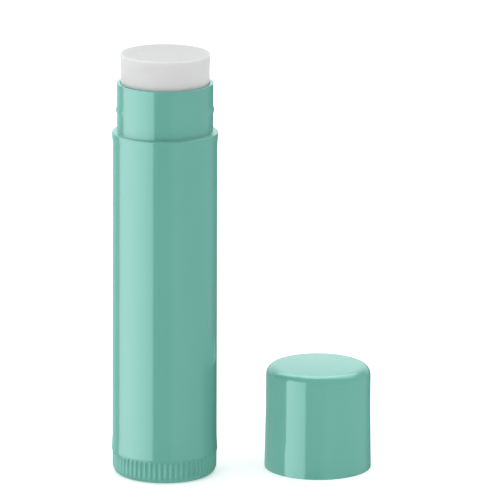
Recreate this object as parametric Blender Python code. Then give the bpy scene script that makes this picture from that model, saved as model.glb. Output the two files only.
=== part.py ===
# A twist-up lip balm stick that stands upright with its balm wound a little way out.
# Its cap has been pulled off and stands beside it on the same surface.
#
# Turning the ribbed dial at the foot turns the spindle moulded onto it. A carrier with a nut
# rides on the spindle's left-handed thread. Its lugs run in two keyways inside the barrel, so it
# can't turn, and it lifts the balm as the dial is turned.
#
# Lengths are in metres and angles in degrees. +Z is up, -Y is the front, and the origin lies on
# the stick's axis in the surface that it stands on.

import math

import bmesh
import bpy
from mathutils import Vector

# Barrel, outside
BARREL_RADIUS = 0.00784
SHOULDER_HEIGHT = 0.05289
BARREL_DRAFT = 0.00007
FLARE_PROUD = 0.000115
FLARE_HEIGHT = 0.00215
FLARE_ROUNDING = 0.0030
LIP_PROUD = 0.00007
LIP_HEIGHT = 0.00085
LIP_SLOPE_HEIGHT = 0.00100
LIP_ROUNDING = 0.00030
SHOULDER_WIDTH = 0.00070

# Neck, which the cap closes over
NECK_LENGTH = 0.00748
NECK_WALL = 0.00038
NECK_RIM_ROUNDING = 0.00008
BEAD_PROUD = 0.00014
BEAD_SEAT_HEIGHT = 0.00266
BEAD_LOWER_FLANK = 0.00065
BEAD_CREST_WIDTH = 0.00022
BEAD_UPPER_FLANK = 0.00080
BEAD_ROOT_DEPTH = 0.00016
BEAD_SPAN_DEGREES = 68
BEAD_FADE_SHARE = 0.22

# Dial
DIAL_HEIGHT = 0.00345
DIAL_INSET = 0.000105
DIAL_DRAFT = 0.00005
DIAL_EDGE_HEIGHT = 0.00140
DIAL_EDGE_WIDTH = 0.00077
DIAL_FLOOR = 0.00130
DIAL_RELIEF_DEPTH = 0.00030
DIAL_RELIEF_SLOPE = 0.00020
DIAL_RELIEF_INNER_RADIUS = 0.0030
DIAL_FOOT_WIDTH = 0.0014
PARTING_GAP = 0.00012
RIB_COUNT = 60
RIB_DEPTH = 0.00022
RIB_CREST_SHARE = 0.30
RIB_FLOOR_SHARE = 0.26
RIB_PHASE_SHARE = 0.427

# Collar of the dial, which snaps into the foot of the barrel
COLLAR_HEIGHT = 0.00275
COLLAR_WALL = 0.00090
COLLAR_GAP = 0.00012
COLLAR_CHAMFER = 0.00020
RECESS_DEPTH = 0.00017
RECESS_HEADROOM = 0.00022
SNAP_HEIGHT = 0.00155
SNAP_PROUD = 0.00025
SNAP_HALF_WIDTH = 0.00040
SNAP_GAP = 0.00015

# Spindle and its thread
SPINDLE_RADIUS = 0.0017
SPINDLE_FOOT = 0.0005
SPINDLE_TIP = 0.0006
THREAD_PITCH = 0.0030
THREAD_DEPTH = 0.0007
THREAD_ROOT_WIDTH = 0.0013
THREAD_CREST_WIDTH = 0.0006
THREAD_FADE_STEPS = 3
NUT_GAP = 0.00022

# Carrier
CARRIER_GAP = 0.00015
CARRIER_FLOOR = 0.0012
CARRIER_WALL = 0.00055
CARRIER_CHAMFER = 0.00015
CUP_HEIGHT = 0.0042
BOSS_WALL = 0.00098
BOSS_HEIGHT = 0.0032
FIN_COUNT = 4
FIN_HEIGHT = 0.0022
FIN_THICKNESS = 0.0006
FIN_PHASE_DEGREES = 45
PARKING_GAP = 0.00035
WOUND_OUT = 0.00525

# Keyways of the barrel and the carrier's lugs in them
KEYWAY_DEPTH = 0.00050
KEYWAY_WIDTH = 0.0016
KEYWAY_END_DEPTH = 0.0009
KEYWAY_AZIMUTHS_DEGREES = (90, 270)
LUG_GAP = 0.00015

# Balm
BALM_GAP = 0.00017
BALM_SEAT_GAP = 0.00020
BALM_PARKED_DEPTH = 0.00078
BALM_EDGE_PROUD = 0.00011
BALM_EDGE_HEIGHT = 0.00140
BALM_EDGE_ROUNDING = 0.00022
BALM_DISH = 0.00012
BALM_BORE_GAP = 0.0003
BALM_BORE_TIP_GAP = 0.0005

# Cap
CAP_HEIGHT = 0.01593
CAP_GAP = 0.00024
CAP_RIM_WALL = 0.000665
CAP_RIM_HEIGHT = 0.00025
CAP_FLARE = 0.000165
CAP_FLARE_HEIGHT = 0.0098
CAP_FLARE_ROUNDING = 0.012
CAP_INNER_DRAFT = 0.00023
CAP_TOP_WALL = 0.0009
CAP_ROUNDING = 0.0015
CAP_INNER_ROUNDING = 0.0008
CAP_RIM_CHAMFER = 0.00018
CAP_SNAP_PROUD = 0.00014
CAP_SNAP_HALF_WIDTH = 0.00035
CAP_SNAP_GAP = 0.00010
CAP_PLACE_X = 0.0233
CAP_PLACE_Y = 0.00314

# How finely the pieces are faceted, and by how much cutters overrun
ROUND_STEPS = 60
THREAD_STEPS = 16
CORNER_STEPS = 2
CAP_CORNER_STEPS = 4
EDGE_STEPS = 3
BEAD_STEPS = 12
OVERRUN = 0.0005
WELD = 0.0000001
SHARP_ANGLE_DEGREES = 32

# Colours of the materials
TEAL = (0.156, 0.412, 0.347, 1.0)
NATURAL_WHITE = (0.780, 0.800, 0.780, 1.0)
WAX = (0.745, 0.745, 0.735, 1.0)

# Radii and heights that the pieces share
LIP_RADIUS = BARREL_RADIUS + LIP_PROUD
BARREL_LOWER_RADIUS = BARREL_RADIUS + BARREL_DRAFT
BARREL_FOOT_RADIUS = BARREL_LOWER_RADIUS + FLARE_PROUD
BARREL_FOOT = DIAL_HEIGHT + PARTING_GAP
DIAL_RADIUS = BARREL_FOOT_RADIUS - DIAL_INSET
NECK_RADIUS = LIP_RADIUS - SHOULDER_WIDTH
NECK_TOP = SHOULDER_HEIGHT + NECK_LENGTH
BORE_RADIUS = NECK_RADIUS - NECK_WALL
RECESS_RADIUS = BORE_RADIUS + RECESS_DEPTH
COLLAR_RADIUS = RECESS_RADIUS - COLLAR_GAP
COLLAR_TOP = DIAL_HEIGHT + COLLAR_HEIGHT
SNAP_RADIUS = COLLAR_RADIUS + SNAP_PROUD
SNAP_LEVEL = DIAL_HEIGHT + SNAP_HEIGHT
KEYWAY_RADIUS = BORE_RADIUS + KEYWAY_DEPTH
KEYWAY_END = SHOULDER_HEIGHT - KEYWAY_END_DEPTH
THREAD_RADIUS = SPINDLE_RADIUS + THREAD_DEPTH
BOSS_RADIUS = THREAD_RADIUS + NUT_GAP + BOSS_WALL
CARRIER_RADIUS = BORE_RADIUS - CARRIER_GAP
CUP_RADIUS = CARRIER_RADIUS - CARRIER_WALL
LUG_RADIUS = KEYWAY_RADIUS - LUG_GAP

# Heights of the carrier's floor when it is wound right down, as built, and wound right up
FLOOR_PARKED = COLLAR_TOP + PARKING_GAP + CARRIER_FLOOR
FLOOR_BUILT = FLOOR_PARKED + WOUND_OUT
FLOOR_RAISED = KEYWAY_END - PARKING_GAP - CUP_HEIGHT
SPINDLE_TOP = FLOOR_RAISED + BOSS_HEIGHT
BALM_LENGTH = NECK_TOP - BALM_PARKED_DEPTH - FLOOR_PARKED


def clear_scene():
    """Remove every object that the scene starts with."""
    for item in list(bpy.data.objects):
        bpy.data.objects.remove(item, do_unlink=True)


def plastic(name, colour, roughness, coat):
    """A moulded plastic or wax surface."""
    material = bpy.data.materials.new(name)
    material.use_nodes = True
    shader = material.node_tree.nodes["Principled BSDF"]
    shader.inputs["Base Color"].default_value = colour
    shader.inputs["Roughness"].default_value = roughness
    shader.inputs["Metallic"].default_value = 0
    shader.inputs["Coat Weight"].default_value = coat
    return material


def polar(radius, azimuth, height):
    """The point at a radius, an azimuth in radians and a height."""
    return Vector((radius * math.cos(azimuth), radius * math.sin(azimuth), height))


def new_object(name, mesh):
    """Turn a closed bmesh into an object of the scene, with its faces pointing out."""
    bmesh.ops.recalc_face_normals(mesh, faces=mesh.faces)
    data = bpy.data.meshes.new(name)
    mesh.to_mesh(data)
    mesh.free()
    item = bpy.data.objects.new(name, data)
    bpy.context.scene.collection.objects.link(item)
    return item


def rounded(corners, steps=CORNER_STEPS):
    """An outline of (radius, height) points, with an arc at each corner that has a rounding.

    Each corner is (radius, height, rounding). An arc that is too long for the edges beside it
    is limited by the shorter of them.
    """
    outline = []
    for index, (radius, height, rounding) in enumerate(corners):
        corner = Vector((radius, height))
        if rounding == 0:
            outline.append(tuple(corner))
            continue
        before = Vector(corners[index - 1][:2]) - corner
        after = Vector(corners[(index + 1) % len(corners)][:2]) - corner
        half_angle = before.angle(after) / 2
        reach = min(rounding / math.tan(half_angle), before.length / 2, after.length / 2)
        radius_used = reach * math.tan(half_angle)
        inward = (before.normalized() + after.normalized()).normalized()
        centre = corner + inward * (radius_used / math.sin(half_angle))
        first = corner + before.normalized() * reach - centre
        last = corner + after.normalized() * reach - centre
        sweep = first.angle_signed(last)
        for step in range(steps + 1):
            turn = -sweep * step / steps
            spoke = Vector((
                first.x * math.cos(turn) - first.y * math.sin(turn),
                first.x * math.sin(turn) + first.y * math.cos(turn),
            ))
            outline.append(tuple(centre + spoke))
    return outline


def turned(name, outline, steps):
    """A body of revolution about Z. An outline that starts on the axis ends on it too."""
    mesh = bmesh.new()
    points = [mesh.verts.new((radius, 0, height)) for radius, height in outline]
    followers = points[1:] if outline[0][0] == 0 else points[1:] + points[:1]
    edges = [mesh.edges.new(pair) for pair in zip(points, followers)]
    bmesh.ops.spin(
        mesh, geom=points + edges, cent=(0, 0, 0), axis=(0, 0, 1),
        angle=math.tau, steps=steps, use_merge=True,
    )
    bmesh.ops.remove_doubles(mesh, verts=mesh.verts, dist=WELD)
    return new_object(name, mesh)


def join_rings(mesh, lower, upper):
    """Fill the band between two rings, also where one has several points to the other's one."""
    count = max(len(lower), len(upper))
    for step in range(count):
        band = []
        for ring, order in ((lower, (step, step + 1)), (upper, (step + 1, step))):
            for place in order:
                point = ring[place * len(ring) // count % len(ring)]
                if point not in band:
                    band.append(point)
        mesh.faces.new(band)


def skin(mesh, rings):
    """Join rings of points one after another, and return their loops of vertices."""
    loops = [[mesh.verts.new(point) for point in ring] for ring in rings]
    for lower, upper in zip(loops, loops[1:]):
        join_rings(mesh, lower, upper)
    return loops


def lofted(name, rings):
    """A closed body through rings of points, with a flat face on the first and the last."""
    mesh = bmesh.new()
    loops = skin(mesh, rings)
    mesh.faces.new(loops[0])
    mesh.faces.new(loops[-1])
    return new_object(name, mesh)


def block(name, low, high, azimuth_degrees):
    """A box between two corners, turned about Z."""
    mesh = bmesh.new()
    bmesh.ops.create_cube(mesh, size=1)
    low, high = Vector(low), Vector(high)
    bmesh.ops.scale(mesh, vec=high - low, verts=mesh.verts)
    bmesh.ops.translate(mesh, vec=(low + high) / 2, verts=mesh.verts)
    item = new_object(name, mesh)
    item.rotation_euler.z = math.radians(azimuth_degrees)
    return item


def combine(target, tool, operation):
    """Join a tool solid to the target or cut it away."""
    modifier = target.modifiers.new(tool.name, "BOOLEAN")
    modifier.operation = operation
    modifier.solver = "EXACT"
    modifier.object = tool
    result = target.evaluated_get(bpy.context.evaluated_depsgraph_get())
    rough = target.data
    target.data = bpy.data.meshes.new_from_object(result)
    target.modifiers.clear()
    bpy.data.meshes.remove(rough)
    bpy.data.objects.remove(tool, do_unlink=True)


def finish(item, material):
    """Give a piece its material and shade its round faces smooth."""
    item.data.name = item.name
    item.data.materials.clear()
    item.data.materials.append(material)
    item.data.shade_smooth()
    item.data.set_sharp_from_angle(angle=math.radians(SHARP_ANGLE_DEGREES))


def pivot(name, place):
    """An empty on the axis of a joint, which carries the pieces that move with it."""
    empty = bpy.data.objects.new(name, None)
    empty.location = place
    bpy.context.scene.collection.objects.link(empty)
    return empty


def thread_sections(start, steps, root, crest, fade_steps):
    """Sections of a left-handed ridge that winds up about Z from a height.

    The root and the crest are (radius, width). The ridge swells to its full depth over the
    fade steps at both ends.
    """
    (root_radius, root_width), (crest_radius, crest_width) = root, crest
    sections = []
    for step in range(steps + 1):
        azimuth = -math.tau * step / THREAD_STEPS
        height = start + THREAD_PITCH * step / THREAD_STEPS
        fade_share = min(1, (min(step, steps - step) + 1 / 2) / (fade_steps + 1 / 2))
        radius = root_radius + (crest_radius - root_radius) * fade_share
        sections.append([
            polar(root_radius, azimuth, height - root_width / 2),
            polar(radius, azimuth, height - crest_width / 2),
            polar(radius, azimuth, height + crest_width / 2),
            polar(root_radius, azimuth, height + root_width / 2),
        ])
    return sections


def spindle_ring(radius, height):
    """A ring of the spindle, in the order in which its thread winds."""
    return [polar(radius, -math.tau * step / THREAD_STEPS, height) for step in range(THREAD_STEPS)]


def wind_thread(mesh, foot, tip):
    """Skin the spindle between the rings at its foot and its tip, with the thread between them.

    The ridge is one long strip. The band of bare spindle between its turns joins the upper side
    of one turn to the lower side of the next. Both ends of the ridge are closed by a face.
    """
    length = SPINDLE_TOP - SPINDLE_TIP - THREAD_ROOT_WIDTH - COLLAR_TOP
    steps = int(length / THREAD_PITCH * THREAD_STEPS)
    turn = THREAD_STEPS
    sections = thread_sections(
        COLLAR_TOP, steps, (SPINDLE_RADIUS, THREAD_ROOT_WIDTH),
        (THREAD_RADIUS, THREAD_CREST_WIDTH), THREAD_FADE_STEPS,
    )
    strip = [[mesh.verts.new(point) for point in section] for section in sections]
    low = [section[0] for section in strip]
    high = [section[-1] for section in strip]
    for here, following in zip(strip, strip[1:]):
        for edge in range(len(here) - 1):
            mesh.faces.new((here[edge], following[edge], following[edge + 1], here[edge + 1]))
    mesh.faces.new(strip[0])
    mesh.faces.new(strip[-1])
    for step in range(steps - turn):
        mesh.faces.new((high[step], high[step + 1], low[step + 1 + turn], low[step + turn]))
    for step in range(turn - 1):
        mesh.faces.new((foot[step], foot[step + 1], low[step + 1], low[step]))
    mesh.faces.new((foot[turn - 1], foot[0], low[0], high[0], low[turn], low[turn - 1]))
    for step in range(steps - turn + 1, steps):
        mesh.faces.new((high[step], high[step + 1], tip[(step + 1) % turn], tip[step % turn]))
    first = steps - turn
    mesh.faces.new((
        high[first], high[first + 1], tip[(first + 1) % turn], tip[first % turn],
        high[steps], low[steps],
    ))


def spindle(mesh, floor):
    """The threaded spindle, which stands on the loop of vertices round the dial's floor."""
    root = skin(mesh, [
        spindle_ring(SPINDLE_RADIUS + SPINDLE_FOOT, DIAL_FLOOR),
        spindle_ring(SPINDLE_RADIUS, DIAL_FLOOR + SPINDLE_FOOT),
    ])
    tip = skin(mesh, [
        spindle_ring(SPINDLE_RADIUS, SPINDLE_TOP - SPINDLE_TIP),
        spindle_ring(SPINDLE_RADIUS - SPINDLE_TIP, SPINDLE_TOP),
    ])
    join_rings(mesh, floor, [root[0][-step] for step in range(THREAD_STEPS)])
    wind_thread(mesh, root[-1], tip[0])
    mesh.faces.new(tip[-1])


def plain_ring(radius, height):
    """A ring of the dial with no ribs."""
    return [polar(radius, math.tau * step / ROUND_STEPS, height) for step in range(ROUND_STEPS)]


def ribbed_ring(radius, height):
    """A ring over the dial's ribs, cut down to a radius where its lower edge is rounded off."""
    crest = DIAL_RADIUS - DIAL_DRAFT * (1 - height / DIAL_HEIGHT)
    flank_share = (1 - RIB_CREST_SHARE - RIB_FLOOR_SHARE) / 2
    shares = (
        (-RIB_CREST_SHARE / 2, crest),
        (RIB_CREST_SHARE / 2, crest),
        (RIB_CREST_SHARE / 2 + flank_share, crest - RIB_DEPTH),
        (1 - RIB_CREST_SHARE / 2 - flank_share, crest - RIB_DEPTH),
    )
    ring = []
    for rib in range(RIB_COUNT):
        for share, surface in shares:
            azimuth = math.tau * (rib + RIB_PHASE_SHARE + share) / RIB_COUNT
            ring.append(polar(min(radius, surface), azimuth, height))
    return ring


def dial_edge_rings():
    """The rings of the dial's rounded lower edge, on a quarter of an ellipse."""
    rings = []
    for step in range(EDGE_STEPS + 1):
        angle = math.pi / 2 * step / EDGE_STEPS
        radius = DIAL_RADIUS - DIAL_EDGE_WIDTH * (1 - math.sin(angle))
        rings.append(ribbed_ring(radius, DIAL_EDGE_HEIGHT * (1 - math.cos(angle))))
    return rings


def dial(material):
    """The ribbed dial, its snap collar and the spindle, moulded in one piece."""
    foot_inner = DIAL_RADIUS - DIAL_EDGE_WIDTH - DIAL_FOOT_WIDTH
    inner = COLLAR_RADIUS - COLLAR_WALL
    rings = [
        plain_ring(DIAL_RELIEF_INNER_RADIUS, 0),
        plain_ring(DIAL_RELIEF_INNER_RADIUS + DIAL_RELIEF_SLOPE, DIAL_RELIEF_DEPTH),
        plain_ring(foot_inner - DIAL_RELIEF_SLOPE, DIAL_RELIEF_DEPTH),
        plain_ring(foot_inner, 0),
    ]
    rings += dial_edge_rings()
    rings += [
        ribbed_ring(DIAL_RADIUS, DIAL_HEIGHT),
        plain_ring(COLLAR_RADIUS, DIAL_HEIGHT),
        plain_ring(COLLAR_RADIUS, SNAP_LEVEL - SNAP_HALF_WIDTH),
        plain_ring(SNAP_RADIUS, SNAP_LEVEL),
        plain_ring(COLLAR_RADIUS, SNAP_LEVEL + SNAP_HALF_WIDTH),
        plain_ring(COLLAR_RADIUS, COLLAR_TOP - COLLAR_CHAMFER),
        plain_ring(COLLAR_RADIUS - COLLAR_CHAMFER, COLLAR_TOP),
        plain_ring(inner, COLLAR_TOP),
        plain_ring(inner, DIAL_FLOOR),
    ]
    mesh = bmesh.new()
    loops = skin(mesh, rings)
    mesh.faces.new(loops[0])
    spindle(mesh, loops[-1])
    piece = new_object("dial", mesh)
    finish(piece, material)
    return piece


def neck_bead(azimuth_degrees):
    """One of the two snap beads on the neck, which fades out at both ends."""
    low = SHOULDER_HEIGHT + BEAD_SEAT_HEIGHT
    crest_low = low + BEAD_LOWER_FLANK
    crest_high = crest_low + BEAD_CREST_WIDTH
    root = NECK_RADIUS - BEAD_ROOT_DEPTH
    buried = NECK_RADIUS - BEAD_ROOT_DEPTH / 2
    rings = []
    for step in range(BEAD_STEPS + 1):
        share = step / BEAD_STEPS
        rise_share = min(1, share / BEAD_FADE_SHARE, (1 - share) / BEAD_FADE_SHARE)
        crest = buried + (NECK_RADIUS + BEAD_PROUD - buried) * rise_share
        azimuth = math.radians(azimuth_degrees + BEAD_SPAN_DEGREES * (share - 1 / 2))
        rings.append([
            polar(root, azimuth, low),
            polar(crest, azimuth, crest_low),
            polar(crest, azimuth, crest_high),
            polar(root, azimuth, crest_high + BEAD_UPPER_FLANK),
        ])
    return lofted("neck_bead", rings)


def barrel(material):
    """The barrel with its neck, snap beads, inner keyways and the recess for the collar."""
    lip_base = SHOULDER_HEIGHT - LIP_HEIGHT
    recess_top = COLLAR_TOP + RECESS_HEADROOM
    groove_radius = SNAP_RADIUS + SNAP_GAP
    groove_reach = SNAP_HALF_WIDTH + SNAP_GAP
    outline = rounded([
        (BARREL_FOOT_RADIUS, BARREL_FOOT, 0),
        (BARREL_LOWER_RADIUS, BARREL_FOOT + FLARE_HEIGHT, FLARE_ROUNDING),
        (BARREL_RADIUS, lip_base - LIP_SLOPE_HEIGHT, 0),
        (LIP_RADIUS, lip_base, 0),
        (LIP_RADIUS, SHOULDER_HEIGHT, LIP_ROUNDING),
        (NECK_RADIUS, SHOULDER_HEIGHT, 0),
        (NECK_RADIUS, NECK_TOP, NECK_RIM_ROUNDING),
        (BORE_RADIUS, NECK_TOP, NECK_RIM_ROUNDING),
        (BORE_RADIUS, recess_top, 0),
        (RECESS_RADIUS, recess_top, 0),
        (RECESS_RADIUS, SNAP_LEVEL + groove_reach, 0),
        (groove_radius, SNAP_LEVEL, 0),
        (RECESS_RADIUS, SNAP_LEVEL - groove_reach, 0),
        (RECESS_RADIUS, BARREL_FOOT + COLLAR_CHAMFER, 0),
        (RECESS_RADIUS + COLLAR_CHAMFER, BARREL_FOOT, 0),
    ])
    piece = turned("barrel", outline, ROUND_STEPS)
    for azimuth in (0, 180):
        combine(piece, neck_bead(azimuth), "UNION")
    for azimuth in KEYWAY_AZIMUTHS_DEGREES:
        low = (BORE_RADIUS - OVERRUN, -KEYWAY_WIDTH / 2, BARREL_FOOT - OVERRUN)
        high = (KEYWAY_RADIUS, KEYWAY_WIDTH / 2, KEYWAY_END)
        combine(piece, block("keyway", low, high, azimuth), "DIFFERENCE")
    finish(piece, material)
    return piece


def nut_groove():
    """The space that the thread turns in, about the carrier's own floor."""
    lowest = -CARRIER_FLOOR - OVERRUN - THREAD_ROOT_WIDTH
    first_turn = math.floor((FLOOR_BUILT + lowest - COLLAR_TOP) / THREAD_PITCH)
    start = COLLAR_TOP + first_turn * THREAD_PITCH - FLOOR_BUILT
    length = BOSS_HEIGHT + OVERRUN + THREAD_ROOT_WIDTH - start
    steps = math.ceil(length / THREAD_PITCH * THREAD_STEPS)
    widening = 2 * NUT_GAP
    return lofted("nut_groove", thread_sections(
        start, steps, (SPINDLE_RADIUS, THREAD_ROOT_WIDTH + widening),
        (THREAD_RADIUS + NUT_GAP, THREAD_CREST_WIDTH + widening), 0,
    ))


def fin_azimuths():
    """The azimuths of the carrier's fins, in degrees."""
    return [FIN_PHASE_DEGREES + 360 * fin / FIN_COUNT for fin in range(FIN_COUNT)]


def carrier(material):
    """The cup that holds the balm, with its nut, the fins that key the balm and two lugs."""
    nut_radius = SPINDLE_RADIUS + NUT_GAP
    outline = [
        (nut_radius, -CARRIER_FLOOR),
        (CARRIER_RADIUS - CARRIER_CHAMFER, -CARRIER_FLOOR),
        (CARRIER_RADIUS, CARRIER_CHAMFER - CARRIER_FLOOR),
        (CARRIER_RADIUS, CUP_HEIGHT),
        (CUP_RADIUS, CUP_HEIGHT),
        (CUP_RADIUS, 0),
        (BOSS_RADIUS, 0),
        (BOSS_RADIUS, BOSS_HEIGHT),
        (nut_radius, BOSS_HEIGHT),
    ]
    piece = turned("carrier", outline, ROUND_STEPS)
    fin_inner = BOSS_RADIUS - BOSS_WALL / 2
    fin_outer = CUP_RADIUS + CARRIER_WALL / 2
    for azimuth in fin_azimuths():
        low = (fin_inner, -FIN_THICKNESS / 2, -CARRIER_FLOOR / 2)
        high = (fin_outer, FIN_THICKNESS / 2, FIN_HEIGHT)
        combine(piece, block("fin", low, high, azimuth), "UNION")
    lug_half_width = KEYWAY_WIDTH / 2 - LUG_GAP
    for azimuth in KEYWAY_AZIMUTHS_DEGREES:
        low = (fin_outer, -lug_half_width, CARRIER_CHAMFER - CARRIER_FLOOR)
        high = (LUG_RADIUS, lug_half_width, CUP_HEIGHT - CARRIER_CHAMFER)
        combine(piece, block("lug", low, high, azimuth), "UNION")
    combine(piece, nut_groove(), "DIFFERENCE")
    finish(piece, material)
    return piece


def balm(material):
    """The stick of balm, cast into the carrier round its boss and fins, with the spindle's bore."""
    radius = BORE_RADIUS - BALM_GAP
    edge_radius = radius + BALM_EDGE_PROUD
    bore_radius = THREAD_RADIUS + BALM_BORE_GAP
    bore_top = SPINDLE_TOP - FLOOR_PARKED + BALM_BORE_TIP_GAP
    foot_inner = BOSS_RADIUS + BALM_SEAT_GAP
    foot_outer = CUP_RADIUS - BALM_SEAT_GAP
    ledge = CUP_HEIGHT + BALM_SEAT_GAP
    outline = rounded([
        (0, bore_top + bore_radius / 2, 0),
        (bore_radius, bore_top, 0),
        (bore_radius, BOSS_HEIGHT + BALM_SEAT_GAP, 0),
        (foot_inner, BOSS_HEIGHT + BALM_SEAT_GAP, 0),
        (foot_inner, BALM_SEAT_GAP, 0),
        (foot_outer, BALM_SEAT_GAP, 0),
        (foot_outer, ledge, 0),
        (radius, ledge, 0),
        (radius, BALM_LENGTH - BALM_EDGE_HEIGHT, 0),
        (edge_radius, BALM_LENGTH, BALM_EDGE_ROUNDING),
        (edge_radius / 2, BALM_LENGTH - BALM_DISH / 2, 0),
        (0, BALM_LENGTH - BALM_DISH, 0),
    ])
    piece = turned("balm", outline, ROUND_STEPS)
    slot_half_width = FIN_THICKNESS / 2 + BALM_SEAT_GAP
    for azimuth in fin_azimuths():
        low = (foot_inner - OVERRUN, -slot_half_width, BALM_SEAT_GAP - OVERRUN)
        high = (foot_outer + OVERRUN, slot_half_width, FIN_HEIGHT + BALM_SEAT_GAP)
        combine(piece, block("slot", low, high, azimuth), "DIFFERENCE")
    finish(piece, material)
    return piece


def cap(material):
    """The cap, open at its rim, with a ring inside that snaps under the neck's beads."""
    bore = NECK_RADIUS + CAP_GAP
    rim_radius = bore + CAP_RIM_WALL
    body_radius = rim_radius - CAP_FLARE
    ceiling = CAP_HEIGHT - CAP_TOP_WALL
    snap_level = BEAD_SEAT_HEIGHT - CAP_SNAP_GAP - CAP_SNAP_HALF_WIDTH
    draft_share = CAP_INNER_DRAFT / ceiling
    snap_wall = bore - draft_share * snap_level
    outline = rounded([
        (0, CAP_HEIGHT, 0),
        (body_radius, CAP_HEIGHT, CAP_ROUNDING),
        (body_radius, CAP_FLARE_HEIGHT, CAP_FLARE_ROUNDING),
        (rim_radius, CAP_RIM_HEIGHT, 0),
        (rim_radius, 0, 0),
        (bore + CAP_RIM_CHAMFER, 0, 0),
        (bore, CAP_RIM_CHAMFER, 0),
        (snap_wall, snap_level - CAP_SNAP_HALF_WIDTH, 0),
        (snap_wall - CAP_SNAP_PROUD, snap_level, 0),
        (snap_wall, snap_level + CAP_SNAP_HALF_WIDTH, 0),
        (bore - CAP_INNER_DRAFT, ceiling, CAP_INNER_ROUNDING),
        (0, ceiling, 0),
    ], CAP_CORNER_STEPS)
    piece = turned("cap", outline, ROUND_STEPS)
    finish(piece, material)
    return piece


def build():
    """Make every piece and set it on the axis that it moves about."""
    clear_scene()
    barrel(plastic("barrel_plastic", TEAL, 0.22, 0.35))
    dial_axis = pivot("dial_axis", (0, 0, 0))
    dial(plastic("dial_plastic", TEAL, 0.26, 0.30)).parent = dial_axis
    carrier_axis = pivot("carrier_axis", (0, 0, FLOOR_BUILT))
    carrier(plastic("carrier_plastic", NATURAL_WHITE, 0.45, 0)).parent = carrier_axis
    balm(plastic("balm_wax", WAX, 0.48, 0)).parent = carrier_axis
    cap_axis = pivot("cap_axis", (CAP_PLACE_X, CAP_PLACE_Y, 0))
    cap(plastic("cap_plastic", TEAL, 0.22, 0.35)).parent = cap_axis


build()
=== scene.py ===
# A studio picture of a twist-up lip balm stick, with its cap standing beside it on white.
#
# The outer pieces are built here again more finely than the frame's and stand for its nodes. They
# have its sizes, but for some lips, beads, ribs and edges that differ by a few tenths of a
# millimetre at most. The carrier, which is out of sight inside, is the frame's own.
#
# Lengths are in metres and angles in degrees. +Z is up, -Y is the front, and the origin lies on
# the stick's axis in the surface that it stands on.

import math

import bmesh
import bpy
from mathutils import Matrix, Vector, noise


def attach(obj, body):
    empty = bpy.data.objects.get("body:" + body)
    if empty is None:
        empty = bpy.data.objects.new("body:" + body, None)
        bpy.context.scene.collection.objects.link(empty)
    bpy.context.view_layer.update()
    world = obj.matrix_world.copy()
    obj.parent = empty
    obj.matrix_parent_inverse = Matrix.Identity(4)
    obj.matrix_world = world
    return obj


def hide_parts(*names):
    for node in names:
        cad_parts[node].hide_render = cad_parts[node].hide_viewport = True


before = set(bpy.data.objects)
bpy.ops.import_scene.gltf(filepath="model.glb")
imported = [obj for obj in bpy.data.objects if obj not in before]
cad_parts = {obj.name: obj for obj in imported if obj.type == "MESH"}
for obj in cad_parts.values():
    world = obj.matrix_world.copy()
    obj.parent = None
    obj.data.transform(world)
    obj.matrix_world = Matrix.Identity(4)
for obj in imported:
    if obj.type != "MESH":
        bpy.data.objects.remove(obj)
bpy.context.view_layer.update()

# Barrel, outside
BARREL_RADIUS = 0.00784
SHOULDER_HEIGHT = 0.05289
BARREL_DRAFT = 0.00007
FLARE_PROUD = 0.000115
FLARE_HEIGHT = 0.00215
FLARE_ROUNDING = 0.0030
LIP_PROUD = 0.00013
LIP_HEIGHT = 0.00060
LIP_SLOPE_HEIGHT = 0.00120
LIP_ROUNDING = 0.00020
LIP_BLEND = 0.008
SHOULDER_WIDTH = 0.00076
FOOT_EDGE_ROUNDING = 0.00006

# Neck, which the cap closes over
NECK_LENGTH = 0.00748
NECK_WALL = 0.00038
NECK_RIM_ROUNDING = 0.00008
RIM_LIP = 0.00012
RIM_LIP_HEIGHT = 0.00012
NECK_ROOT_ROUNDING = 0.00015
BEAD_PROUD = 0.00014
BEAD_SEAT_HEIGHT = 0.00233
BEAD_LOWER_FLANK = 0.00085
BEAD_CREST_WIDTH = 0.00022
BEAD_UPPER_FLANK = 0.00095
BEAD_ROOT_DEPTH = 0.00016
BEAD_SPAN_DEGREES = 68
BEAD_FADE_SHARE = 0.22
BEAD_BLEND = 0.00009

# Dial
DIAL_HEIGHT = 0.00345
DIAL_INSET = 0.000105
DIAL_DRAFT = 0.00005
DIAL_EDGE_HEIGHT = 0.00150
DIAL_EDGE_WIDTH = 0.00095
DIAL_TOP_CHAMFER = 0.00002
DIAL_FLOOR = 0.00130
DIAL_RELIEF_DEPTH = 0.00030
DIAL_RELIEF_SLOPE = 0.00020
DIAL_RELIEF_INNER_RADIUS = 0.0030
DIAL_FOOT_WIDTH = 0.0014
DIAL_BAND_HEIGHT = 0.00022
PARTING_GAP = 0.00012
PARTING_SEEN = 0.00002
RIB_COUNT = 60
RIB_DEPTH = 0.00019
RIB_CREST_SHARE = 0.14
RIB_FLOOR_SHARE = 0.14
RIB_PHASE_SHARE = 0.427
RIB_RUNOUT = 0.00020

# Collar of the dial, which snaps into the foot of the barrel
COLLAR_HEIGHT = 0.00275
COLLAR_WALL = 0.00090
COLLAR_GAP = 0.00012
COLLAR_CHAMFER = 0.00020
RECESS_DEPTH = 0.00017
RECESS_HEADROOM = 0.00022
SNAP_HEIGHT = 0.00155
SNAP_PROUD = 0.00025
SNAP_HALF_WIDTH = 0.00040
SNAP_GAP = 0.00015

# Spindle and its thread
SPINDLE_RADIUS = 0.0017
SPINDLE_FOOT = 0.0005
SPINDLE_TIP = 0.0006
THREAD_PITCH = 0.0030
THREAD_DEPTH = 0.0007
THREAD_ROOT_WIDTH = 0.0013
THREAD_CREST_WIDTH = 0.0006
THREAD_FADE_SHARE = 0.19
THREAD_BURIED = 0.0001

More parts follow.
